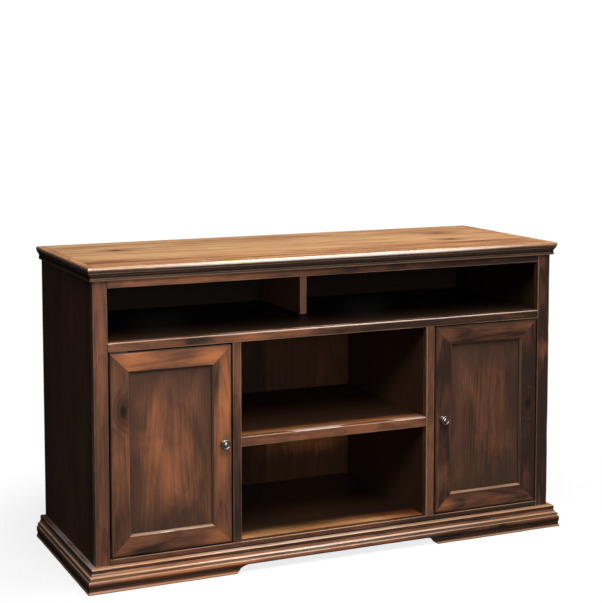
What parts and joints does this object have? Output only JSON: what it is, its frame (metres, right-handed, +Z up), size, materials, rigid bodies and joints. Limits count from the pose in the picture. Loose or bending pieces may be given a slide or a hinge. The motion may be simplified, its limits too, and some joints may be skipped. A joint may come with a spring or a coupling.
{
  "type": "tv console",
  "caption": "Wooden television console: open media bay over cupboards with inset mitred doors and an open shelved centre, on a moulded bracket base.",
  "frame": {"origin": "on the floor, under the middle of the overall box", "axes": "+X to the right as seen from the front, -Y out of the front, +Z up"},
  "size_m": [1.386, 0.523, 0.816],
  "materials": {
    "top_wood": "natural alder planks, satin lacquer",
    "face_wood": "burnished brown alder, rubbed arrises, satin lacquer",
    "panel_wood": "burnished brown alder with darker edges, satin lacquer",
    "side_wood": "burnished dark brown alder, satin lacquer",
    "inner_wood": "brown stained alder, satin lacquer",
    "back_wood": "brown stained veneer",
    "frame_wood": "sawn timber, thin stain",
    "pin_steel": "zinc plated",
    "hinge_brass": "antique brass",
    "catch_plastic": "moulded brown plastic",
    "strike_steel": "zinc plated",
    "knob_pewter": "antique pewter, rubbed"
  },
  "bodies": {
    "case": {"top_panel": "top_wood", "top_strip_front": "top_wood", "top_strip_left": "top_wood", "top_strip_right": "top_wood", "cornice_front": "face_wood", "cornice_left": "side_wood", "cornice_right": "side_wood", "side_left": "side_wood", "side_right": "side_wood", "stile_left": "face_wood", "stile_right": "face_wood", "rail_top": "face_wood", "rail_middle": "face_wood", "rail_bottom": "face_wood", "inner_stile_left": "face_wood", "inner_stile_right": "face_wood", "partition_left": "inner_wood", "partition_right": "inner_wood", "media_divider": "inner_wood", "media_shelf": "inner_wood", "deck": "inner_wood", "centre_shelf": "inner_wood", "centre_shelf_nosing": "face_wood", "cupboard_shelf_left": "inner_wood", "cupboard_shelf_right": "inner_wood", "shelf_pins": "pin_steel", "back_upper": "back_wood", "back_lower": "back_wood", "top_cleats": "frame_wood", "base_front": "face_wood", "base_left": "side_wood", "base_right": "side_wood", "base_back": "frame_wood", "corner_blocks": "frame_wood", "deck_runners": "frame_wood", "hinge_plates_left": "hinge_brass", "hinge_plates_right": "hinge_brass", "catch_left": "catch_plastic", "catch_right": "catch_plastic"},
    "left_door": {"door_left_hinge_stile": "face_wood", "door_left_free_stile": "face_wood", "door_left_top_rail": "face_wood", "door_left_bottom_rail": "face_wood", "door_left_panel": "panel_wood", "door_left_hinge_leaves": "hinge_brass", "door_left_strike": "strike_steel", "knob_left": "knob_pewter", "knob_screw_left": "strike_steel"},
    "right_door": {"door_right_hinge_stile": "face_wood", "door_right_free_stile": "face_wood", "door_right_top_rail": "face_wood", "door_right_bottom_rail": "face_wood", "door_right_panel": "panel_wood", "door_right_hinge_leaves": "hinge_brass", "door_right_strike": "strike_steel", "knob_right": "knob_pewter", "knob_screw_right": "strike_steel"}
  },
  "joints": [
    {"name": "left_door_swing", "type": "hinge", "parent": "case", "child": "left_door", "pos_m": [-0.622, -0.2315, 0.338], "axis": [0, 0, -1], "range_deg": [0, 105]},
    {"name": "right_door_swing", "type": "hinge", "parent": "case", "child": "right_door", "pos_m": [0.622, -0.2315, 0.338], "axis": [0, 0, 1], "range_deg": [0, 105]}
  ]
}
